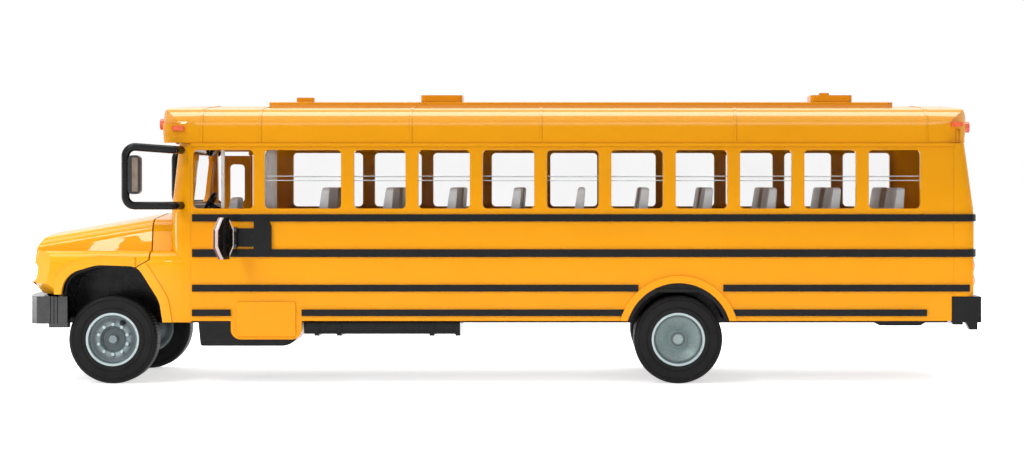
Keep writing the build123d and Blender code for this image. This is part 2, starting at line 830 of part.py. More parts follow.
def rear_wheel_well():
    """The liner above the kerb-side rear wheels, flat on top below the cabin floor."""
    bounds = block(rear_axle_x - rear_arch_r, rear_axle_x + rear_arch_r, 0, half_width - wall, sill_z, rear_well_top_z)
    liner = rear_arch(rear_arch_r, chassis_half_width, half_width - wall) & bounds
    hollow = rear_arch(rear_arch_r - well_wall, chassis_half_width + well_wall, half_width + overrun)
    return liner - (hollow & block(bumper_x, body_rear_x, 0, half_width + overrun, 0, rear_well_top_z - well_wall))


front_well = front_wheel_well() - block(bumper_x, bumper_end_x + slip, bumper_half_width - bumper_depth - slip, half_width,
                                        bumper_step_z, bumper_top_z + slip)
rear_well = rear_wheel_well()
save(swapped(front_well), "front_well_left")
save(front_well, "front_well_right")
save(swapped(rear_well), "rear_well_left")
save(rear_well, "rear_well_right")

tank = across(rounded([
    (tank_front_x, sill_z, 0),
    (tank_front_x + wall / 2, tank_low_z, wall / 2),
    (tank_rear_x - tank_corner_r / 2, tank_low_z, tank_corner_r),
    (tank_rear_x, sill_z, 0),
]), -tank_outer_y, -tank_inner_y)
save(tank, "step_tank")
muffler = along(rect(-muffler_outer_y, -muffler_inner_y, muffler_low_z, muffler_top_z, muffler_r), muffler_front_x, muffler_rear_x)
straps = joined(along(rect(-muffler_outer_y - strap_drop, -muffler_inner_y, muffler_low_z - strap_drop,
                           muffler_top_z, muffler_r), x, x + strap_width) for x in strap_xs)
save(muffler + straps, "muffler")
save(block(engine_front_x, engine_rear_x, -engine_half_width, engine_half_width, chassis_top_z, engine_top_z), "engine")

# Wheels

def ring(rows, centre_x, y_sign):
    """A turned shape about an axle, from rows of distance inwards from the outer face, radius and corner."""
    face = rounded([(radius, -depth, corner) for depth, radius, corner in rows])
    turned = revolve(face, axis=Axis.Y)
    placed = Pos(0, wheel_outer_y, 0) * turned
    placed = Pos(centre_x, 0, axle_z) * placed
    return placed if y_sign > 0 else swapped(placed)


def tyre(depth, centre_x, y_sign):
    """One tyre, its outer side wall at a depth from the wheel's outer face."""
    return ring([
        (depth, rim_r, 0),
        (depth, tyre_r, tyre_edge_r),
        (depth + tyre_width, tyre_r, tyre_edge_r),
        (depth + tyre_width, rim_r, 0),
    ], centre_x, y_sign)


def front_rim(y_sign):
    """A front wheel: rolled lip, flat disc with nuts round a sunk hub."""
    rim = ring([
        (rim_lip, 0, 0),
        (rim_lip, hub_cap_r, 0),
        (rim_disc_depth * 2, hub_cap_r * 1.2, 0),
        (rim_disc_depth * 2, hub_recess_r, 0),
        (rim_disc_depth, hub_recess_r * 1.25, 0),
        (rim_disc_depth, rim_disc_r, 0),
        (0, rim_r - rim_lip, 0),
        (0, rim_r, 0),
        (rim_back_depth, rim_r, 0),
        (rim_back_depth, 0, 0),
    ], front_axle_x, 1)
    face_y = wheel_outer_y - rim_disc_depth
    for i in range(nut_count):
        angle = 2 * math.pi * i / nut_count
        x = front_axle_x + nut_circle_r * math.sin(angle)
        z = axle_z + nut_circle_r * math.cos(angle)
        rim = rim + bar((x, face_y - nut_height, z), (x, face_y + nut_height, z), nut_r)
    x = front_axle_x + hand_hole_circle_r * math.sin(math.radians(30))
    z = axle_z + hand_hole_circle_r * math.cos(math.radians(30))
    rim = rim - bar((x, face_y - rim_disc_depth, z), (x, wheel_outer_y + wall, z), hand_hole_r)
    return rim if y_sign > 0 else swapped(rim)


def rear_rim(y_sign):
    """A rear dual wheel: deep dish with a stepped hub, and the inner wheel's plain rim."""
    outer = ring([
        (rim_disc_depth, 0, 0),
        (rim_disc_depth, rear_hub_cap_r, 0),
        (rim_disc_depth * 1.5, rear_hub_cap_r, 0),
        (rim_disc_depth * 1.5, rear_hub_r, 0),
        (rear_dish_depth, rear_hub_r * 1.3, 0),
        (rim_disc_depth * 1.5, rim_disc_r, 0),
        (0, rim_r - rim_lip, 0),
        (0, rim_r, 0),
        (tyre_width * 2 + dual_gap, rim_r, 0),
        (tyre_width * 2 + dual_gap, 0, 0),
    ], rear_axle_x, y_sign)
    return outer


dual_depth = tyre_width + dual_gap
save(tyre(0, front_axle_x, 1) + tyre(0, front_axle_x, -1), "front_tyres")
save(joined(tyre(depth, rear_axle_x, side) for depth in (0, dual_depth) for side in (1, -1)), "rear_tyres")
front_shaft = bar((front_axle_x, -wheel_outer_y + rim_back_depth, axle_z), (front_axle_x, wheel_outer_y - rim_back_depth, axle_z), axle_r)
rear_shaft_y = wheel_outer_y - tyre_width * 2 - dual_gap
rear_shaft = bar((rear_axle_x, -rear_shaft_y, axle_z), (rear_axle_x, rear_shaft_y, axle_z), axle_r)
save(front_shaft, "front_axle")
save(rear_shaft, "rear_axle")
save(front_rim(1) + front_rim(-1), "front_rims")
save(rear_rim(1) + rear_rim(-1), "rear_rims")

# Inside

floor_inset = half_width - floor_half_width
floor = upward(body_plan(floor_front_x - floor_inset, floor_rear_x + floor_inset, floor_inset), floor_low_z, floor_top_z)
floor = floor & body_form(wall + slip, sill_z)
save(floor, "cabin_floor")


def bench(back_x, inner_y, outer_y, top_z):
    """A molded bench: cushion and a leaning, tapered back."""
    profile = rounded([
        (back_x - cushion_length, floor_top_z, 0),
        (back_x, floor_top_z, 0),
        (back_x + seat_lean, top_z, seat_back_top / 3),
        (back_x + seat_lean - seat_back_top, top_z, seat_back_top / 3),
        (back_x - seat_back, cushion_top_z, 0),
        (back_x - cushion_length, cushion_top_z, seat_corner_r),
    ])
    corners = along(rounded([
        (inner_y, floor_top_z, 0),
        (outer_y, floor_top_z, 0),
        (outer_y, top_z, seat_corner_r),
        (inner_y, top_z, seat_corner_r),
    ]), back_x - cushion_length, back_x + seat_lean)
    return across(profile, inner_y, outer_y) & corners


benches = [bench(seat_first_x + i * window_pitch, seat_inner_y, seat_outer_y, seat_top_z) for i in range(seat_count)]
kerb_seats = joined(benches[1:])
save(swapped(kerb_seats), "seats_left")
save(kerb_seats, "seats_right")
driver_seat = bench(driver_seat_x, driver_seat_y - driver_seat_half_width, driver_seat_y + driver_seat_half_width, driver_seat_top_z)
save(driver_seat, "driver_seat")
save(block(partition_x, partition_x + partition_thick, -seat_outer_y, -seat_inner_y, floor_top_z, partition_high_z), "partition")
dash = along(rect(-floor_half_width + wall, floor_half_width - wall, dash_low_z, dash_top_z, seat_corner_r),
             floor_front_x, floor_front_x + dash_depth) & body_form(wall + glass + slip, sill_z)
save(dash, "dashboard")
ring_place = Pos(wheel_x, driver_seat_y, wheel_z) * Rot(0, -wheel_tilt, 0)
steering = ring_place * Torus(wheel_ring_r, wheel_ring_tube_r)
steering = steering + ring_place * Cylinder(column_r, wheel_ring_tube_r * 2)
for turn in (0, 120, 240):
    spoke = Rot(0, 0, turn) * Pos(wheel_ring_r / 2, 0, 0) * Box(wheel_ring_r, column_r, column_r)
    steering = steering + ring_place * spoke
column = ring_place * Pos(0, 0, -wheel_ring_r) * Cylinder(column_r, wheel_ring_r * 2)
save(steering + column - dash, "steering_wheel")


# Glazing behind the openings

def side_glass(y_sign, x_from):
    """One side's glazing sheet, behind the window openings."""
    low, high = window_low_z - wall, window_high_z + wall / 2
    sheet = block(x_from, passenger_windows[-1][1] + wall, half_width - wall - glass, half_width - wall, low, high)
    sheet = sheet & body_form(wall, sill_z)
    return sheet if y_sign > 0 else swapped(sheet)


save(side_glass(-1, driver_window_x - wall / 4), "glass_left")
save(side_glass(1, first_window_x - wall), "glass_right")
shield_space = body_form(wall, sill_z) - body_form(wall + glass, sill_z - overrun)
save(shield_space & block(body_front_x, front_joint_x - wall, -half_width + front_corner_r, half_width - front_corner_r,
                          shield_low_z - wall / 2, shield_high_z + wall / 2), "glass_front")
rear_panes = joined(
    shield_space & block(rear_joint_x + wall, body_rear_x, -half - wall / 2, half + wall / 2,
                         z_from - wall / 2, z_to + wall / 2)
    for half, z_from, z_to in (
        (rear_window_outer_y, rear_window_low_z, rear_window_high_z),
        (rear_door_window_half, *rear_door_lower_window_z),
    ))
save(rear_panes, "glass_rear")


# Mirrors

def mirror_loop():
    """The loop tube on the kerb side, from the upper foot round to the lower foot."""
    root_y = half_width - mirror_foot_r / 2
    path = FilletPolyline(
        (mirror_root_x, root_y, mirror_root_top_z),
        (mirror_root_x - mirror_tube_r, mirror_y, mirror_root_top_z),
        (mirror_front_x + mirror_tube_r, mirror_y, mirror_top_z),
        (mirror_front_x + mirror_tube_r, mirror_y, mirror_low_z),
        (mirror_root_x - mirror_tube_r, mirror_y, mirror_low_z),
        (mirror_root_x, root_y, mirror_low_z),
        radius=mirror_bend_r)
    return sweep(Plane(path @ 0, z_dir=path % 0) * Circle(mirror_tube_r), path=path)


loop = mirror_loop() - body_form(0, sill_z)
plate = across(rect(mirror_plate_x, mirror_plate_x + mirror_plate_length, mirror_plate_low_z, mirror_plate_high_z,
                    mirror_plate_thick), mirror_y - mirror_plate_thick, mirror_y + mirror_plate_thick) - loop
save(swapped(loop), "mirror_loop_left")
save(loop, "mirror_loop_right")
save(swapped(plate), "mirror_head_left")
save(plate, "mirror_head_right")

# Stop sign, on a bracket that stands on the driver's side

sign_low_z = sign_mid_z - sign_flats / 2
knuckle_low_z = sign_mid_z - sign_knuckle_height / 2
knuckle_high_z = sign_mid_z + sign_knuckle_height / 2
bracket_outer_y = -half_width - bracket_thick
bracket = across(rounded([
    (bracket_boss_x, sign_mid_z - bracket_height / 2, 0),
    (bracket_rear_x, sign_mid_z - bracket_height / 2, bracket_height / 4),
    (bracket_rear_x, sign_mid_z + bracket_height / 2, bracket_height / 4),
    (bracket_boss_x, sign_mid_z + bracket_height / 2, 0),
]), bracket_outer_y, -half_width)
bracket = bracket + block(sign_hinge_x - sign_knuckle_r, bracket_boss_x + sign_knuckle_r, bracket_outer_y, -half_width,
                          sign_mid_z - bracket_arm_height / 2, sign_mid_z + bracket_arm_height / 2)
bracket = bracket + block(sign_hinge_x - sign_knuckle_r, sign_hinge_x + sign_knuckle_r, sign_hinge_y, -half_width, knuckle_low_z, knuckle_high_z)
bracket = bracket + bar((sign_hinge_x, sign_hinge_y, knuckle_low_z), (sign_hinge_x, sign_hinge_y, knuckle_high_z), sign_knuckle_r)
pin_reach = sign_knuckle_height / 2 + slip + sign_lug_height
bracket = bracket + bar((sign_hinge_x, sign_hinge_y, sign_mid_z - pin_reach), (sign_hinge_x, sign_hinge_y, sign_mid_z + pin_reach), sign_pin_r)
rail_clear = block(sign_hinge_x - overrun, bracket_rear_x + overrun, -half_width - rail_proud, -half_width, rail_rows[1][0], rail_rows[0][1])
rail_band = joined(block(sign_hinge_x - overrun, bracket_rear_x + overrun, -half_width - rail_proud, -half_width, z_from, z_to)
                   for z_from, z_to, runs in rail_rows[:2])
save(bracket - rail_band, "stop_sign_bracket")

octagon = Pos(sign_root + sign_flats / 2, 0) * RegularPolygon(sign_flats / 2, 8, major_radius=False, rotation=22.5)
sign = Pos(0, sign_thick / 2, sign_mid_z) * extrude(Plane.XZ * octagon, amount=sign_thick, dir=(0, -1, 0))
for low in (knuckle_high_z + slip, knuckle_low_z - slip - sign_lug_height):
    lug = bar((0, 0, low), (0, 0, low + sign_lug_height), sign_knuckle_r)
    lug = lug + block(0, sign_root + sign_thick, -sign_thick / 2, sign_thick / 2, low, low + sign_lug_height)
    sign = sign + lug
sign = sign - bar((0, 0, sign_low_z), (0, 0, sign_low_z + sign_flats), sign_pin_r + sign_fit)
save(Pos(sign_hinge_x, sign_hinge_y, 0) * Rot(0, 0, -sign_open_angle) * sign, "stop_sign")

# Entry door leaf

door_middle_y = half_width - wall / 2
leaf = across(rect(door_front_x, door_hinge_x, door_low_z, door_high_z), door_middle_y - door_thick / 2, door_middle_y + door_thick / 2)
leaf = leaf + bar((door_hinge_x, door_middle_y, door_low_z), (door_hinge_x, door_middle_y, door_high_z), door_barrel_r)
for z_from, z_to in door_window_z:
    leaf = leaf - across(rect(door_front_x + door_window_margin, door_hinge_x - door_window_margin, z_from, z_to, window_corner_r),
                         door_middle_y - overrun, door_middle_y + overrun)
leaf = leaf + bar((door_hinge_x, door_middle_y, door_low_z - door_pin_length), (door_hinge_x, door_middle_y, door_high_z + door_pin_length), door_pin_r)
leaf = leaf & upward(body_plan(body_front_x, body_rear_x, 0), sill_z - overrun, drip_z)
save(leaf, "entry_door")

# Roof fittings and lamps

hatches = joined(upward(rect(x, x + hatch_length, -hatch_width / 2, hatch_width / 2, hatch_corner_r), crown_z, panel_top_z + hatch_rise)
                 for x in hatch_xs)
knob_x = hatch_xs[1] + hatch_length / 4
hatches = hatches + block(knob_x, knob_x + hatch_knob_length, -hatch_knob_length / 2, hatch_knob_length / 2,
                          panel_top_z + hatch_rise,
                          panel_top_z + hatch_rise + hatch_knob_rise)
save(hatches - along(roof_section(panel_rise), panel_front_x, panel_rear_x), "roof_hatches")
vent = upward(rect(vent_x, vent_x + vent_length, -vent_width / 2, vent_width / 2, hatch_corner_r / 2), crown_z, panel_top_z + vent_rise)
save(vent - along(roof_section(panel_rise), panel_front_x, panel_rear_x), "roof_vent")

markers = joined(both(block(x, x + marker_length, half_width - marker_height, half_width + marker_proud, z, z + marker_height))
                 for x, z in marker_rows)
save(markers - roof_form(0), "marker_lamps")


def round_lamps(x_from, x_to, places, radius):
    """Round lamps facing along the bus, at both sides."""
    return joined(both(bar((x_from, y, z), (x_to, y, z), radius)) for y, z in places)


front_lamps = round_lamps(roof_front_x - warning_proud, roof_front_x + roof_end_r,
                          [(y, front_warning_z) for y in warning_ys], warning_r) - roof_form(0)
rear_lamps = round_lamps(roof_rear_x - roof_end_r, roof_rear_x + warning_proud,
                         [(y, rear_warning_z) for y in warning_ys], warning_r) - roof_form(0)
save(front_lamps + rear_lamps, "warning_lamps")
save(round_lamps(body_rear_x - wall / 2, body_rear_x + tail_proud, tail_rows, tail_r) - body_form(0, sill_z), "tail_lamps")
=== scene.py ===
import json
import math

import bmesh
import bpy
from mathutils import Matrix, Vector
from mathutils.bvhtree import BVHTree


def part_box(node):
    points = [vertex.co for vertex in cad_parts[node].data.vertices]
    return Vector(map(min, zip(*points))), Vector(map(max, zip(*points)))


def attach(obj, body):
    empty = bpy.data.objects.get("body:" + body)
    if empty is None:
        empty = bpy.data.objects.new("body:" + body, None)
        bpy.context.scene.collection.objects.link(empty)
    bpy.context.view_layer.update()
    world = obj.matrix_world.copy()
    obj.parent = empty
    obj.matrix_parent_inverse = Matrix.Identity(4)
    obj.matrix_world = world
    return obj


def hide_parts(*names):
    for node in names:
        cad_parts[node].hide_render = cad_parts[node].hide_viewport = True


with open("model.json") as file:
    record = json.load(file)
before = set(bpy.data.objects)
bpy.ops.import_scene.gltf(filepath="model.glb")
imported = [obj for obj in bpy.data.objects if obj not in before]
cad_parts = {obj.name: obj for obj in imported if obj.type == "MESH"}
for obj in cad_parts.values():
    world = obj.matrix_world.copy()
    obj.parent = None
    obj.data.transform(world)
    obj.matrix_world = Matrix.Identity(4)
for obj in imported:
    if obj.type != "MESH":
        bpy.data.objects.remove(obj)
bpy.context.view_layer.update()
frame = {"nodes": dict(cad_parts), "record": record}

# Shapes and patterns are given in millimetres, the lights' places and sizes in metres
MM = 0.001

# The camera: level, square to the driver's side, its middle ray at this pixel of the frame
FRAME_WIDTH, FRAME_HEIGHT = 1024, 455
SIGHT_X, SIGHT_Y = 583, 184
FOCAL_PIXELS = 2200
SENSOR = 36.0
CAMERA_PLACE = Vector((16.85 * MM, -462.5 * MM, 40.1 * MM))


def mm_box(node):
    """A CAD node's lowest and highest corner in millimetres."""
    low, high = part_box(node)
    return Vector(low) / MM, Vector(high) / MM


front_axle_low, front_axle_high = mm_box("front_axle")
rear_axle_low, rear_axle_high = mm_box("rear_axle")
front_axle = (front_axle_low + front_axle_high) / 2
rear_axle = (rear_axle_low + rear_axle_high) / 2
HALF_WIDTH = 22.5

# A smooth copy's edges under the crease angle are shaded round, corners this near become one,
# and faces flatter to each other than the last angle are joined
CREASE_DEGREES = 28
SAME_CORNER = 0.002
FLAT_DEGREES = 0.6

# The stop sign: its hinge, how far it stands open, and its octagon's middle from the hinge
SIGN_HINGE = Vector((-52.7, -24.45, 29.4))
SIGN_OPEN = 104
SIGN_MIDDLE = 5.05
BORDER_OUTER, BORDER_INNER, BORDER_THICK = 4.05, 3.7, 0.06
BORDER_PLACES = (-0.43, 0.37)
BACK_PLACE, BACK_REACH, BACK_HOLE, BACK_THICK = 0.36, 3.68, 0.01, 0.05
STIFFENER_LOW, STIFFENER_HIGH = (-1.1, 0.36, -4.12), (1.1, 0.8, 4.12)

# The sashes' two levels and their stretch of the windows, and the glazing's thick front edge, painted white
# as a painted highlight
SASH_LEVELS, SASH_HEIGHT = (40.75, 41.6), 0.16
SASH_FRONT, SASH_REAR = -47.5, 86.0
SASH_DEEP, SASH_NEAR = 1.0, 0.85
GLAZING_EDGE_LOW, GLAZING_EDGE_HIGH = (-55.7, -21.5, 35.2), (-55.05, -20.9, 46.9)

# The roof brow's side outline, how far it stays inside the body, and its rounded corners
BROW_OUTLINE = ((-67.75, 52.2), (-67.5, 48.35), (-61.6, 48.35), (-61.6, 52.2))
BROW_INSET = 0.4
BROW_FRONT_X = -67
BROW_CORNER = 2.6

# The roof's rear corners: middle of the rounding, how far round, and bands from low to high
ROOF_CORNER_X, ROOF_CORNER_Y = 88.6, 16.57
ROOF_CORNER_TURN = (25, 85)
ROOF_CORNER_BANDS = (
    (((5.1, 5.7), (5.0, 5.6)), (48.4, 50.9)),
    (((5.0, 5.6), (4.7, 5.3)), (50.9, 52.5)),
)

# The rear arch liners: inner and outer radius, their place out from the middle, how far round
LINER_RADII = (10.3, 12.1)
LINER_FROM, LINER_TO = 20.6, 21.4
LINER_TURN = (25, 155)
ARC_STEPS = 16

# The wheel nuts of a front wheel: how many, on which circle, their size, and how far out the
# search for the rim's surface starts
NUTS = 10
NUT_CIRCLE, NUT_RADIUS, NUT_DEPTH = 3.0, 0.34, 0.5
FAR_OUT = 100

# The tabs under the rear bumper and the mirror in the cabin
TAB_OUTLINE = ((93.3, 12.9), (94.3, 10.9), (95.9, 10.9), (95.9, 12.9))
TAB_OUTER, TAB_INNER = 21.8, 19.4
CABIN_MIRROR_LOW, CABIN_MIRROR_HIGH = (-62.0, -2.2, 46.0), (-60.8, 2.2, 47.6)
CABIN_MIRROR_ROUNDING = 0.3

# The floor's half size in metres, and the distances over which its glow comes up to white
FLOOR_REACH = 3.0
GLOW_FROM, GLOW_TO = 130.0, 420.0
GLOW_NEAR, GLOW_FAR = 0.6, 1.0

# The room's light over its depth, less on the camera's side
ROOM_NEAR, ROOM_FAR = -0.2, 0.5
ROOM_DIM, ROOM_BRIGHT = 0.16, 0.95
PURE_WHITE = (1, 1, 1, 1)

# Each soft box: its name, place and aim in metres, width and length in metres, power in watts
SOFT_BOXES = (
    ("top_box", (0.02, 0.0, 0.5), (0.02, 0.0, 0.0), (0.8, 0.26), 2.9),
    ("hood_box", (-0.4, -0.42, 0.55), (-0.08, 0.0, 0.03), (0.3, 0.12), 1.5),
    ("hood_glint", (-0.314, -0.505, 0.28), (-0.076, -0.0175, 0.029), (0.054, 0.17), 0.6),
    ("nose_box", (-0.526, 0.056, 0.034), (-0.09, -0.01, 0.03), (0.1, 0.06), 0.24),
    ("side_box", (0.15, -0.75, 0.42), (0.02, 0.0, 0.02), (0.9, 0.2), 1.5),
    ("back_box", (0.0, 0.7, 0.45), (0.0, 0.0, 0.03), (1.0, 0.5), 1.6),
)


def make_camera():
    """The photograph's camera."""
    data = bpy.data.cameras.new("camera")
    data.sensor_width = SENSOR
    data.lens = SENSOR * FOCAL_PIXELS / FRAME_WIDTH
    data.shift_x = (FRAME_WIDTH / 2 - SIGHT_X) / FRAME_WIDTH
    data.shift_y = (SIGHT_Y - FRAME_HEIGHT / 2) / FRAME_WIDTH
    data.clip_start = 10 * MM
    data.clip_end = 10
    camera = bpy.data.objects.new("camera", data)
    bpy.context.collection.objects.link(camera)
    camera.location = CAMERA_PLACE
    camera.rotation_euler = (math.pi / 2, 0, 0)
    bpy.context.scene.camera = camera


class Nodes:
    """A node tree that grows by one named value after another."""

    def __init__(self, tree):
        self.nodes = tree.nodes
        self.links = tree.links

    def node(self, kind, inputs=None, **settings):
        """A new node with its settings and inputs, each input a value or another node's output."""
        made = self.nodes.new(kind)
        for setting, value in settings.items():
            setattr(made, setting, value)
        for socket, value in (inputs or {}).items():
            if isinstance(value, bpy.types.NodeSocket):
                self.links.new(value, made.inputs[socket])
            else:
                made.inputs[socket].default_value = value
        return made

    def math(self, operation, first, second=0.0):
        """One calculation with two values."""
        return self.node("ShaderNodeMath", {0: first, 1: second}, operation=operation).outputs["Value"]

    def squares(self, first, second):
        """The squares of two values, added."""
        return self.math("ADD", self.math("POWER", first, 2.0), self.math("POWER", second, 2.0))

    def distance(self, along, across):
        """The distance of a point so far along and so far across."""
        return self.math("SQRT", self.squares(along, across))

    def spread(self, value, low, high, low_to=0.0, high_to=1.0):
        """A value mapped from one range to another, clamped."""
        ranges = {"Value": value, "From Min": low, "From Max": high, "To Min": low_to, "To Max": high_to}
        return self.node("ShaderNodeMapRange", ranges).outputs["Result"]

    def span(self, value, low, high, soft=0.05):
        """One inside a range of a value and nothing outside, with soft ends."""
        rise = self.spread(value, low - soft, low + soft)
        fall = self.spread(value, high - soft, high + soft, 1.0, 0.0)
        return self.math("MULTIPLY", rise, fall)

    def blend(self, share, first, second):
        """A colour between two, by a share."""
        return self.node("ShaderNodeMix", {0: share, 6: first, 7: second}, data_type="RGBA").outputs[2]

    def shown(self):
        """One for rays from the camera and for those that gloss or glass sends on, else nothing."""
        path = self.node("ShaderNodeLightPath").outputs
        mirrored = self.math("MAXIMUM", path["Is Glossy Ray"], path["Is Transmission Ray"])
        return self.math("MAXIMUM", path["Is Camera Ray"], mirrored)


class Finish(Nodes):
    """A node material grown round one Principled shader."""

    def __init__(self, name, **sockets):
        self.material = bpy.data.materials.new(name)
        self.material.use_nodes = True
        super().__init__(self.material.node_tree)
        self.shader = self.nodes["Principled BSDF"]
        self.coords = self.node("ShaderNodeTexCoord").outputs["Object"]
        for socket, value in sockets.items():
            self.shader.inputs[socket.replace("_", " ")].default_value = value

    def place(self, axis):
        """The place along an axis, in millimetres."""
        parts = self.node("ShaderNodeSeparateXYZ", {"Vector": self.coords})
        return self.math("MULTIPLY", parts.outputs[axis], 1 / MM)

    def past(self, axis, start):
        """How far past a place along an axis, in millimetres."""
        return self.math("SUBTRACT", self.place(axis), start)

    def noise(self, per_mm, detail=2.0, stretch=None):
        """Noise with so many cells to the millimetre, stretched along an axis if asked."""
        place = self.coords
        if stretch:
            place = self.node("ShaderNodeMapping", {"Vector": place, "Scale": stretch}).outputs["Vector"]
        made = self.node("ShaderNodeTexNoise", {"Vector": place, "Scale": per_mm / MM, "Detail": detail})
        return made.outputs["Fac"]

    def set(self, socket, output):
        """Link an output to one of the shader's sockets."""
        self.links.new(output, self.shader.inputs[socket])

    def bump(self, height, depth_mm, strength=1.0):
        """Raise the surface by a height pattern, on top of any bump already there."""
        made = self.node("ShaderNodeBump", {
            "Height": height, "Distance": depth_mm * MM, "Strength": strength})
        normal = self.shader.inputs["Normal"]
        if normal.is_linked:
            self.links.new(normal.links[0].from_socket, made.inputs["Normal"])
        self.links.new(made.outputs["Normal"], normal)

    def soft_edges(self, radius_mm):
        """Round the shading over edges, as on a casting."""
        made = self.node("ShaderNodeBevel", {"Radius": radius_mm * MM}, samples=6)
        self.links.new(made.outputs["Normal"], self.shader.inputs["Normal"])


def linear(red, green, blue):
    """A colour from 0 to 255 as the shader wants it."""
    def channel(value):
        value = value / 255
        return value / 12.92 if value <= 0.04045 else ((value + 0.055) / 1.055) ** 2.4
    return (channel(red), channel(green), channel(blue), 1.0)


def enamel():
    """Glossy yellow-orange enamel over a casting, deeper up the body as painted shade and lighter at the nose
    as painted light, glossier at the nose and roof edge.
    """
    plain_gloss, nose_gloss, edge_gloss = 1.25, 1.38, 1.95
    nose_from, nose_to = -63.0, -69.0
    finish = Finish("yellow_enamel", Roughness=0.45, IOR=1.5, Specular_IOR_Level=0.02,
                    Coat_Weight=0.7, Coat_IOR=plain_gloss, Coat_Roughness=0.02)
    finish.soft_edges(0.3)
    drift = finish.spread(finish.noise(0.045, 3.0), 0.3, 0.7)
    lower = finish.blend(drift, linear(240, 156, 0), linear(244, 160, 2))
    # Painted shade: the upper body's colour is deeper, standing in for the shade on the window band and roof
    # side.
    painted_shade_upper = finish.blend(drift, linear(212, 141, 0), linear(216, 145, 2))
    # Painted light: the hood and nose take a lighter, more yellow colour, standing in for more light on the
    # front.
    painted_light_nose = finish.spread(finish.place("X"), nose_from, nose_to)
    lower = finish.blend(painted_light_nose, lower, linear(243, 168, 2))
    # The deeper painted shade comes in from 24 mm up to 42 mm high.
    height = finish.spread(finish.place("Z"), 24.0, 42.0)
    finish.set("Base Color", finish.blend(height, lower, painted_shade_upper))
    edge = finish.math("MINIMUM", finish.spread(finish.place("Z"), 51.5, 53.5, plain_gloss, edge_gloss),
                       finish.spread(finish.place("Z"), 56.0, 56.5, edge_gloss, plain_gloss))
    front = finish.spread(finish.place("X"), nose_from, nose_to, plain_gloss, nose_gloss)
    finish.set("Coat IOR", finish.math("MAXIMUM", edge, front))
    finish.bump(finish.noise(0.6, 2.0), 0.01, 0.25)
    return finish.material


def black_plastic(name, shine, smooth, rough):
    """Glossy black plastic, faintly grained and slightly greyed in places."""
    finish = Finish(name, IOR=shine, Specular_IOR_Level=0.2)
    finish.soft_edges(0.2)
    cloud = finish.spread(finish.noise(0.2, 4.0), 0.35, 0.7)
    finish.set("Base Color", finish.blend(cloud, linear(7, 7, 8), linear(13, 13, 15)))
    finish.set("Roughness", finish.spread(finish.noise(0.6, 3.0), 0.3, 0.7, smooth, rough))
    finish.bump(finish.noise(4.0, 2.0), 0.006, 0.5)
    return finish.material


def tyre_rubber():
    """Soft black rubber: fine rings on the side walls, cross grooves over the tread."""
    groove_count = 84.0
    tread_from, tread_to = 8.55, 8.75
    finish = Finish("tyre_rubber", Roughness=0.5, IOR=1.42, Specular_IOR_Level=0.2)
    finish.soft_edges(0.2)
    cloud = finish.spread(finish.noise(0.35, 5.0), 0.35, 0.7)
    finish.set("Base Color", finish.blend(cloud, linear(11, 11, 12), linear(21, 21, 22)))
    along = finish.place("X")
    rearward = finish.math("GREATER_THAN", along, (front_axle.x + rear_axle.x) / 2)
    across = finish.math("SUBTRACT", along, finish.spread(rearward, 0, 1, front_axle.x, rear_axle.x))
    upward = finish.past("Z", front_axle.z)
    radius = finish.distance(across, upward)
    turn = finish.math("ARCTAN2", upward, across)
    grooves = finish.spread(finish.math("SINE", finish.math("MULTIPLY", turn, groove_count)), -0.2, 0.5)
    tread = finish.math("MULTIPLY", grooves, finish.spread(radius, tread_from, tread_to))
    ridges = finish.math("ADD", finish.span(radius, 6.2, 6.4, 0.06), finish.span(radius, 7.9, 8.0, 0.05))
    finish.bump(finish.math("ADD", tread, ridges), 0.14)
    finish.bump(finish.noise(3.0, 3.0), 0.015, 0.5)
    return finish.material


def wheel_paint(name, axle, low, high, painted_shade_rings, dish, painted_shade_hole=None):
    """A wheel's blue-grey plastic: dished between two radii, painted shade in its rings, a painted highlight
    on its lip, a black spot of painted shade for a hole if asked.
    """
    ring_shade = 0.8
    lip_highlight_from, lip_highlight_to = 4.75, 4.95
    finish = Finish(name, Metallic=0.3, Roughness=0.36, IOR=1.5)
    finish.soft_edges(0.12)
    flakes = finish.spread(finish.noise(4.0, 2.0), 0.3, 0.7)
    colour = finish.blend(flakes, low, high)
    radius = finish.distance(finish.past("X", axle.x), finish.past("Z", axle.z))
    # Painted shade: each ring darkens the recess it lies in.
    for inner, outer, soft in painted_shade_rings:
        ring = finish.math("MULTIPLY", finish.span(radius, inner, outer, soft), ring_shade)
        colour = finish.blend(ring, colour, linear(46, 54, 57))
    # Painted highlight: the rim's lip is lighter.
    colour = finish.blend(finish.spread(radius, lip_highlight_from, lip_highlight_to), colour, linear(168, 184, 186))
    # Painted shade: a black spot where the hand hole shows dark.
    if painted_shade_hole:
        from_hole = finish.squares(finish.past("X", axle.x + painted_shade_hole[0]), finish.past("Z", axle.z + painted_shade_hole[1]))
        colour = finish.blend(finish.spread(from_hole, 0.2, 0.32), linear(10, 10, 11), colour)
    finish.set("Base Color", colour)
    dish_inner, dish_outer, dish_depth = dish
    finish.bump(finish.spread(radius, dish_inner, dish_outer), dish_depth)
    finish.set("Roughness", finish.spread(finish.noise(1.0, 3.0), 0.3, 0.7, 0.32, 0.46))
    return finish.material


def seat_plastic():
    """Light grey molded plastic with a fine grain."""
    finish = Finish("grey_seat_plastic", Roughness=0.5, IOR=1.46)
    finish.soft_edges(0.35)
    cloud = finish.spread(finish.noise(0.3, 3.0), 0.35, 0.65)
    finish.set("Base Color", finish.blend(cloud, linear(176, 178, 180), linear(192, 194, 196)))
    finish.bump(finish.noise(4.0, 2.0), 0.01, 0.5)
    return finish.material


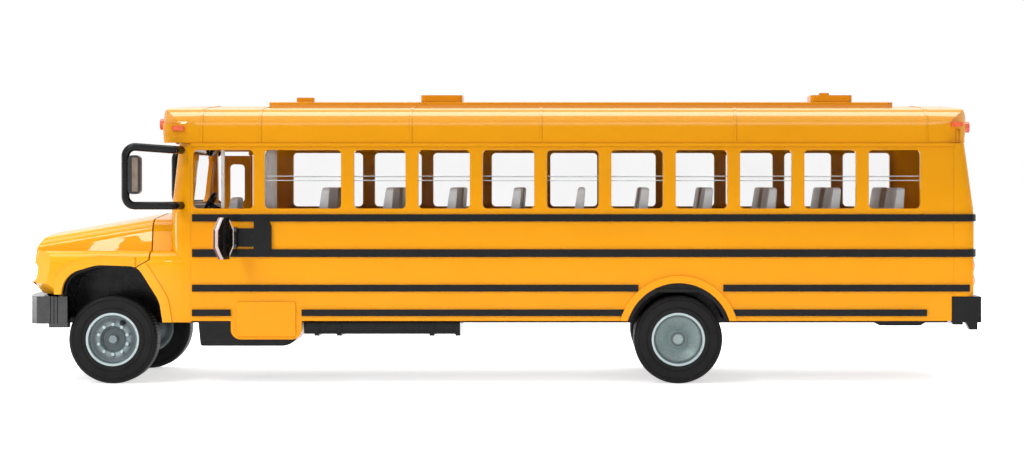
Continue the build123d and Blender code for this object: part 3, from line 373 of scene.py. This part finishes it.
def clear_plastic():
    """Thin clear glazing, very slightly wavy and hazed."""
    finish = Finish("clear_plastic", Roughness=0.04, IOR=1.45)
    haze = finish.spread(finish.noise(0.1, 3.0), 0.3, 0.7)
    finish.set("Base Color", finish.blend(haze, linear(28, 31, 34), linear(46, 50, 54)))
    finish.set("Alpha", finish.spread(haze, 0.0, 1.0, 0.015, 0.03))
    finish.bump(finish.noise(0.12, 1.0), 0.01, 0.4)
    return finish.material


def frosted_plastic():
    """Frosted clear plastic of the partition behind the driver and of the window sashes."""
    finish = Finish("frosted_plastic", Roughness=0.3, IOR=1.45)
    haze = finish.spread(finish.noise(0.25, 3.0), 0.3, 0.7)
    finish.set("Base Color", finish.blend(haze, linear(205, 210, 212), linear(228, 232, 234)))
    finish.set("Alpha", finish.spread(haze, 0.0, 1.0, 0.5, 0.62))
    return finish.material


def lens():
    """A clear ribbed lens over a bright bowl."""
    ribs_per_mm = 9.0
    finish = Finish("lamp_lens", Roughness=0.08, IOR=1.5, Metallic=0.3)
    waves = finish.math("SINE", finish.math("MULTIPLY", finish.place("Y"), ribs_per_mm))
    ribs = finish.spread(waves, -1.0, 1.0)
    finish.set("Base Color", finish.blend(ribs, linear(190, 194, 198), linear(238, 240, 242)))
    finish.bump(ribs, 0.04, 0.8)
    return finish.material


def lamp_paint(name, low, high):
    """A lamp's or a border's glossy paint, faintly uneven."""
    finish = Finish(name, Roughness=0.2, IOR=1.5, Coat_Weight=0.5)
    finish.soft_edges(0.12)
    share = finish.spread(finish.noise(1.2, 2.0), 0.35, 0.65)
    finish.set("Base Color", finish.blend(share, low, high))
    finish.bump(finish.noise(3.0, 1.0), 0.01, 0.4)
    return finish.material


def sign_paint():
    """The stop sign's red face, its rim black towards the face and pinkish behind as painted shade and
    highlight, black round its hinge.
    """
    finish = Finish("red_sign_paint", Roughness=0.22, IOR=1.5, Coat_Weight=0.4)
    share = finish.spread(finish.noise(1.2, 2.0), 0.35, 0.65)
    red = finish.blend(share, linear(176, 16, 18), linear(204, 28, 26))
    across, outward = finish.past("X", SIGN_HINGE.x), finish.past("Y", SIGN_HINGE.y)
    reach = finish.distance(across, outward)
    turn = math.radians(SIGN_OPEN)
    depth = finish.math("ADD", finish.math("MULTIPLY", across, math.sin(turn)),
                        finish.math("MULTIPLY", outward, math.cos(turn)))
    # Painted shade and highlight: the rim is black on its face side and pinkish behind.
    painted_shade_and_highlight_rim = finish.blend(finish.spread(depth, -0.02, 0.02), linear(24, 20, 20), linear(206, 168, 166))
    plate = finish.blend(finish.spread(depth, -0.38, -0.34), red, painted_shade_and_highlight_rim)
    finish.set("Base Color", finish.blend(finish.spread(reach, 1.0, 1.1), linear(16, 16, 18), plate))
    return finish.material


def steel():
    """Bright drawn wire, its drawing marks round the axle."""
    finish = Finish("axle_steel", Metallic=1.0, Roughness=0.3)
    marks = finish.spread(finish.noise(2.0, 4.0, stretch=(1.0, 12.0, 1.0)), 0.3, 0.7)
    finish.set("Base Color", finish.blend(marks, linear(150, 150, 152), linear(200, 200, 202)))
    finish.set("Roughness", finish.spread(marks, 0.0, 1.0, 0.22, 0.4))
    return finish.material


def mirror_head():
    """A black mirror head with its glass set in the middle, brown-grey as a painted reflection."""
    front_frame, frame_width = 0.85, 0.5
    finish = Finish("mirror_head_finish", Roughness=0.28, IOR=1.45)
    finish.soft_edges(0.2)
    low, high = mm_box("mirror_head_left")
    along = finish.span(finish.place("X"), low.x + front_frame, high.x - frame_width, 0.08)
    upward = finish.span(finish.place("Z"), low.z + frame_width, high.z - frame_width, 0.1)
    cloud = finish.spread(finish.noise(0.5, 2.0), 0.3, 0.7)
    # Painted reflection: the mirror glass is brown-grey.
    painted_reflection_brown = finish.blend(cloud, linear(96, 82, 70), linear(126, 110, 94))
    glass = finish.math("MULTIPLY", along, upward)
    finish.set("Base Color", finish.blend(glass, linear(16, 16, 18), painted_reflection_brown))
    return finish.material


# The wheels' rings of painted shade are inner and outer radius and softness, their dishes two radii and a
# depth
FINISHES = {
    "body_paint": enamel(),
    "black_plastic": black_plastic("glossy_black_plastic", 1.45, 0.2, 0.32),
    "tyre_rubber": tyre_rubber(),
    # The front wheels' paint is the darker copy of one blue-grey plastic: painted shade.
    "wheel_grey": wheel_paint("front_wheel_paint_shaded", front_axle, linear(104, 117, 121), linear(128, 142, 146),
                              ((0.95, 2.15, 0.12), (3.5, 4.6, 0.35)), (2.0, 4.4, 0.7), (2.1, 3.4)),
    "grey_plastic": seat_plastic(),
    "clear_plastic": clear_plastic(),
    "lamp_red": lamp_paint("red_lamp_paint", linear(205, 52, 12), linear(232, 84, 22)),
    "sign_red": sign_paint(),
    "mirror_plate": mirror_head(),
    "axle_steel": steel(),
}
OWN_FINISHES = {
    "front_bumper": black_plastic("bumper_plastic", 2.0, 0.12, 0.2),
    # The rear wheels' paint is the lighter copy of the same plastic: painted light.
    "rear_rims": wheel_paint("rear_wheel_paint_lit", rear_axle, linear(124, 140, 141), linear(146, 163, 164),
                             ((1.05, 1.6, 0.12), (4.45, 4.75, 0.2)), (1.7, 4.5, 1.2)),
    "headlamps": lens(),
    "partition": frosted_plastic(),
    "marker_lamps": lamp_paint("marker_lamp_paint", linear(205, 60, 14), linear(228, 92, 26)),
}
WHITE = lamp_paint("white_sign_paint", linear(226, 222, 218), linear(240, 238, 234))

NODE_SLOT = {row["node"]: row["material_slot"] for row in frame["record"]["subparts"]}
BODY_OF = {node: body for body, nodes in frame["record"]["behaviour"]["bodies"].items() for node in nodes}


def skin_of(node_name):
    """A CAD node's surface, to look up places on it."""
    mesh = frame["nodes"][node_name].data
    corners = [vertex.co for vertex in mesh.vertices]
    return BVHTree.FromPolygons(corners, [face.vertices for face in mesh.polygons])


def finish_of(node_name):
    """The finish of a CAD node: its own, or its slot's."""
    return OWN_FINISHES.get(node_name, FINISHES[NODE_SLOT[node_name]])


def finish_nodes():
    """Give every CAD node its finish."""
    for name, node in frame["nodes"].items():
        node.data.materials.clear()
        node.data.materials.append(finish_of(name))


def smooth_copy(node_name):
    """A copy of a CAD node with its corners merged, smooth where it curves and crisp at its edges."""
    piece_name = node_name + "_cast"
    mesh = frame["nodes"][node_name].data.copy()
    mesh.name = piece_name
    piece = bpy.data.objects.new(piece_name, mesh)
    bpy.context.collection.objects.link(piece)
    work = bmesh.new()
    work.from_mesh(mesh)
    bmesh.ops.remove_doubles(work, verts=work.verts, dist=SAME_CORNER * MM)
    bmesh.ops.dissolve_limit(work, angle_limit=math.radians(FLAT_DEGREES), verts=work.verts, edges=work.edges)
    for face in work.faces:
        face.smooth = True
    for edge in work.edges:
        edge.smooth = len(edge.link_faces) == 2 and edge.calc_face_angle(0) < math.radians(CREASE_DEGREES)
    work.to_mesh(mesh)
    work.free()
    if mesh.has_custom_normals:
        mesh.normals_split_custom_set([(0, 0, 0)] * len(mesh.loops))
    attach(piece, BODY_OF[node_name])
    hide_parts(node_name)


def piece_of(work, name, finish, body, smooth=False):
    """Make a worked mesh, given in millimetres, into a piece that rides on a body."""
    bmesh.ops.scale(work, vec=(MM, MM, MM), verts=work.verts)
    bmesh.ops.recalc_face_normals(work, faces=work.faces)
    for face in work.faces:
        face.smooth = smooth
    mesh = bpy.data.meshes.new(name)
    work.to_mesh(mesh)
    work.free()
    mesh.materials.append(finish)
    piece = bpy.data.objects.new(name, mesh)
    bpy.context.collection.objects.link(piece)
    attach(piece, body)


def add_box(work, low, high, at=Matrix.Identity(4)):
    """A box between two corners of a frame, added to a worked mesh."""
    middle = (Vector(low) + Vector(high)) / 2
    size = Vector(high) - Vector(low)
    form = at @ Matrix.Translation(middle) @ Matrix.Diagonal((*size, 1.0))
    bmesh.ops.create_cube(work, size=1.0, matrix=form)


def add_prism(work, outline, y_from, y_to):
    """A side outline of x and z between two y, added to a worked mesh."""
    rows = [[work.verts.new((x, y, z)) for x, z in outline] for y in (y_from, y_to)]
    work.faces.new(rows[0])
    work.faces.new(rows[1][::-1])
    count = len(outline)
    for i in range(count):
        j = (i + 1) % count
        work.faces.new((rows[0][i], rows[1][i], rows[1][j], rows[0][j]))


def octagon(reach):
    """The corners of an octagon with flats so far from its middle, a flat on top."""
    radius = reach / math.cos(math.pi / 8)
    turns = [math.radians(22.5 + 45 * i) for i in range(8)]
    return [(radius * math.sin(turn), radius * math.cos(turn)) for turn in turns]


def add_octagon_ring(work, frame_at, outer, inner, depth):
    """A flat octagon ring between two half widths across flats, so deep, in a frame's own plane."""
    rings = (octagon(outer), octagon(inner))
    rows = [[work.verts.new(frame_at @ Vector((u, side, v))) for u, v in ring]
            for side in (0.0, depth) for ring in rings]
    near_out, near_in, far_out, far_in = rows
    for i in range(8):
        j = (i + 1) % 8
        work.faces.new((near_out[i], near_out[j], near_in[j], near_in[i]))
        work.faces.new((far_out[i], far_in[i], far_in[j], far_out[j]))
        work.faces.new((near_out[i], far_out[i], far_out[j], near_out[j]))
        work.faces.new((near_in[i], near_in[j], far_in[j], far_in[i]))


def add_arc(work, centre, radii, across, degrees, plane="XZ"):
    """A curved band about a centre, with two radii at each of two places across it, upright or lying."""
    start, end = degrees
    turns = [math.radians(start + (end - start) * i / ARC_STEPS) for i in range(ARC_STEPS + 1)]
    rows = []
    for level in (0, 1):
        for reach in radii[level]:
            line = []
            for turn in turns:
                u, v = centre[0] + reach * math.cos(turn), centre[1] + reach * math.sin(turn)
                line.append(work.verts.new((u, across[level], v) if plane == "XZ" else (u, v, across[level])))
            rows.append(line)
    near_in, near_out, far_in, far_out = rows
    for i in range(ARC_STEPS):
        for first, second in ((near_in, near_out), (near_out, far_out), (far_out, far_in), (far_in, near_in)):
            work.faces.new((first[i], first[i + 1], second[i + 1], second[i]))
    for i in (0, ARC_STEPS):
        work.faces.new((near_in[i], near_out[i], far_out[i], far_in[i]))


def make_sign_faces():
    """White borders on both faces of the stop sign, its black back plate and stiffening bar."""
    at = Matrix.Translation(SIGN_HINGE) @ Matrix.Rotation(math.radians(-SIGN_OPEN), 4, "Z")
    at = at @ Matrix.Translation((SIGN_MIDDLE, 0, 0))
    borders = bmesh.new()
    for side in BORDER_PLACES:
        place = at @ Matrix.Translation((0, side, 0))
        add_octagon_ring(borders, place, BORDER_OUTER, BORDER_INNER, BORDER_THICK)
    piece_of(borders, "sign_borders", WHITE, "stop_sign")
    back = bmesh.new()
    add_octagon_ring(back, at @ Matrix.Translation((0, BACK_PLACE, 0)), BACK_REACH, BACK_HOLE, BACK_THICK)
    add_box(back, STIFFENER_LOW, STIFFENER_HIGH, at)
    piece_of(back, "sign_back", FINISHES["black_plastic"], "stop_sign")


def make_sashes():
    """Twin sash lines across the passenger glazing on both sides, and the glazing's thick front edge painted
    white as a painted highlight.
    """
    work = bmesh.new()
    for sign in (-1, 1):
        for low in SASH_LEVELS:
            side = sorted((sign * (HALF_WIDTH - SASH_DEEP), sign * (HALF_WIDTH - SASH_NEAR)))
            add_box(work, (SASH_FRONT, side[0], low), (SASH_REAR, side[1], low + SASH_HEIGHT))
    piece_of(work, "window_sashes", OWN_FINISHES["partition"], "root")
    edge = bmesh.new()
    # Painted highlight: the clear glazing's front edge is a white box.
    add_box(edge, GLAZING_EDGE_LOW, GLAZING_EDGE_HIGH)
    piece_of(edge, "glazing_edge_highlight", WHITE, "root")


def make_roof_brow():
    """The blunt lower edge of the roof's front overhang, down to the drip line."""
    work = bmesh.new()
    add_prism(work, BROW_OUTLINE, -HALF_WIDTH + BROW_INSET, HALF_WIDTH - BROW_INSET)
    upright = []
    for edge in work.edges:
        first, second = (vertex.co for vertex in edge.verts)
        if abs(first.y - second.y) < 0.01 and first.x < BROW_FRONT_X and second.x < BROW_FRONT_X:
            upright.append(edge)
    bmesh.ops.bevel(work, geom=upright, offset=BROW_CORNER, segments=6, affect="EDGES", profile=0.5)
    piece_of(work, "roof_brow", FINISHES["body_paint"], "root")


def make_roof_corners():
    """The roof's rounded rear corners, closed behind its skin."""
    work = bmesh.new()
    for side in (-1, 1):
        turn = sorted(side * degrees for degrees in ROOF_CORNER_TURN)
        for radii, heights in ROOF_CORNER_BANDS:
            add_arc(work, (ROOF_CORNER_X, side * ROOF_CORNER_Y), radii, heights, turn, "XY")
    piece_of(work, "roof_corners", FINISHES["body_paint"], "root")


def make_arch_liners():
    """The black lining of the rear wheel arches, up to the body's lip."""
    work = bmesh.new()
    for side in (-1, 1):
        across = (side * LINER_FROM, side * LINER_TO)
        add_arc(work, (rear_axle.x, rear_axle.z), (LINER_RADII, LINER_RADII), across, LINER_TURN)
    piece_of(work, "rear_arch_liners", FINISHES["black_plastic"], "root")


def make_wheel_nuts():
    """A ring of nuts round each front hub."""
    work, skin = bmesh.new(), skin_of("front_rims")
    for side in (-1, 1):
        for i in range(NUTS):
            turn = math.radians(360 / NUTS * i)
            x, z = front_axle.x + NUT_CIRCLE * math.sin(turn), front_axle.z + NUT_CIRCLE * math.cos(turn)
            y = skin.ray_cast(Vector((x, side * FAR_OUT, z)) * MM, Vector((0, -side, 0)))[0].y / MM
            at = Matrix.Translation((x, y, z)) @ Matrix.Rotation(math.pi / 2, 4, "X")
            bmesh.ops.create_cone(work, cap_ends=True, segments=10, radius1=NUT_RADIUS, radius2=NUT_RADIUS,
                                  depth=NUT_DEPTH, matrix=at)
    # The nuts take the rear wheels' lighter paint, with its painted light.
    piece_of(work, "front_wheel_nuts", OWN_FINISHES["rear_rims"], "front_wheels")


def make_bumper_tabs():
    """A small tab under each end of the rear bumper."""
    work = bmesh.new()
    for side in (-1, 1):
        y_from, y_to = sorted((side * TAB_OUTER, side * TAB_INNER))
        add_prism(work, TAB_OUTLINE, y_from, y_to)
    piece_of(work, "bumper_tabs", FINISHES["black_plastic"], "root")


def make_cabin_mirror():
    """The driver's mirror under the roof's front edge."""
    work = bmesh.new()
    add_box(work, CABIN_MIRROR_LOW, CABIN_MIRROR_HIGH)
    bmesh.ops.bevel(work, geom=work.edges[:], offset=CABIN_MIRROR_ROUNDING, segments=3, affect="EDGES")
    piece_of(work, "cabin_mirror", FINISHES["black_plastic"], "root", smooth=True)


def make_stage():
    """A plain pale floor that carries on into a backdrop of the same colour."""
    mesh = bpy.data.meshes.new("floor")
    corners = [(x * FLOOR_REACH, y * FLOOR_REACH, 0) for x, y in ((-1, -1), (1, -1), (1, 1), (-1, 1))]
    mesh.from_pydata(corners, [], [(0, 1, 2, 3)])
    floor = bpy.data.objects.new("floor", mesh)
    bpy.context.collection.objects.link(floor)
    finish = Finish("pale_floor", Roughness=0.9, Emission_Color=PURE_WHITE)
    grain = finish.spread(finish.noise(0.05, 2.0), 0.3, 0.7)
    finish.set("Base Color", finish.blend(grain, linear(252, 252, 252), linear(255, 255, 255)))
    away = finish.distance(finish.place("X"), finish.math("MULTIPLY", finish.place("Y"), 2.0))
    glow = finish.spread(away, GLOW_FROM, GLOW_TO, GLOW_NEAR, GLOW_FAR)
    finish.set("Emission Strength", finish.math("MULTIPLY", finish.shown(), glow))
    mesh.materials.append(finish.material)


def make_soft_box(name, place, aim, size, power):
    """A soft box at a place, turned to a point."""
    data = bpy.data.lights.new(name, "AREA")
    data.shape = "RECTANGLE"
    data.size, data.size_y = size
    data.energy = power
    light = bpy.data.objects.new(name, data)
    bpy.context.collection.objects.link(light)
    light.location = place
    light.rotation_euler = (Vector(aim) - Vector(place)).to_track_quat("-Z", "Y").to_euler()


def make_room():
    """A room white where it is seen, also in gloss and glass, its light less on the camera's side."""
    world = bpy.data.worlds.new("white_room")
    bpy.context.scene.world = world
    world.use_nodes = True
    room = Nodes(world.node_tree)
    outlook = room.node("ShaderNodeTexCoord").outputs["Generated"]
    depth = room.node("ShaderNodeSeparateXYZ", {"Vector": outlook}).outputs["Y"]
    light = room.nodes["Background"]
    light.inputs["Color"].default_value = PURE_WHITE
    strength = room.spread(depth, ROOM_NEAR, ROOM_FAR, ROOM_DIM, ROOM_BRIGHT)
    room.links.new(strength, light.inputs["Strength"])
    white = room.node("ShaderNodeBackground", {"Color": PURE_WHITE, "Strength": 1.0})
    mixed = room.node("ShaderNodeMixShader", {
        "Fac": room.shown(), 1: light.outputs["Background"], 2: white.outputs["Background"]})
    room.links.new(mixed.outputs["Shader"], room.nodes["World Output"].inputs["Surface"])


make_camera()
finish_nodes()
make_stage()
for soft_box in SOFT_BOXES:
    make_soft_box(*soft_box)
make_room()
for node_name in list(frame["nodes"]):
    smooth_copy(node_name)
make_sign_faces()
make_sashes()
make_roof_brow()
make_roof_corners()
make_arch_liners()
make_wheel_nuts()
make_bumper_tabs()
make_cabin_mirror()

bpy.context.scene.view_settings.view_transform = "Standard"
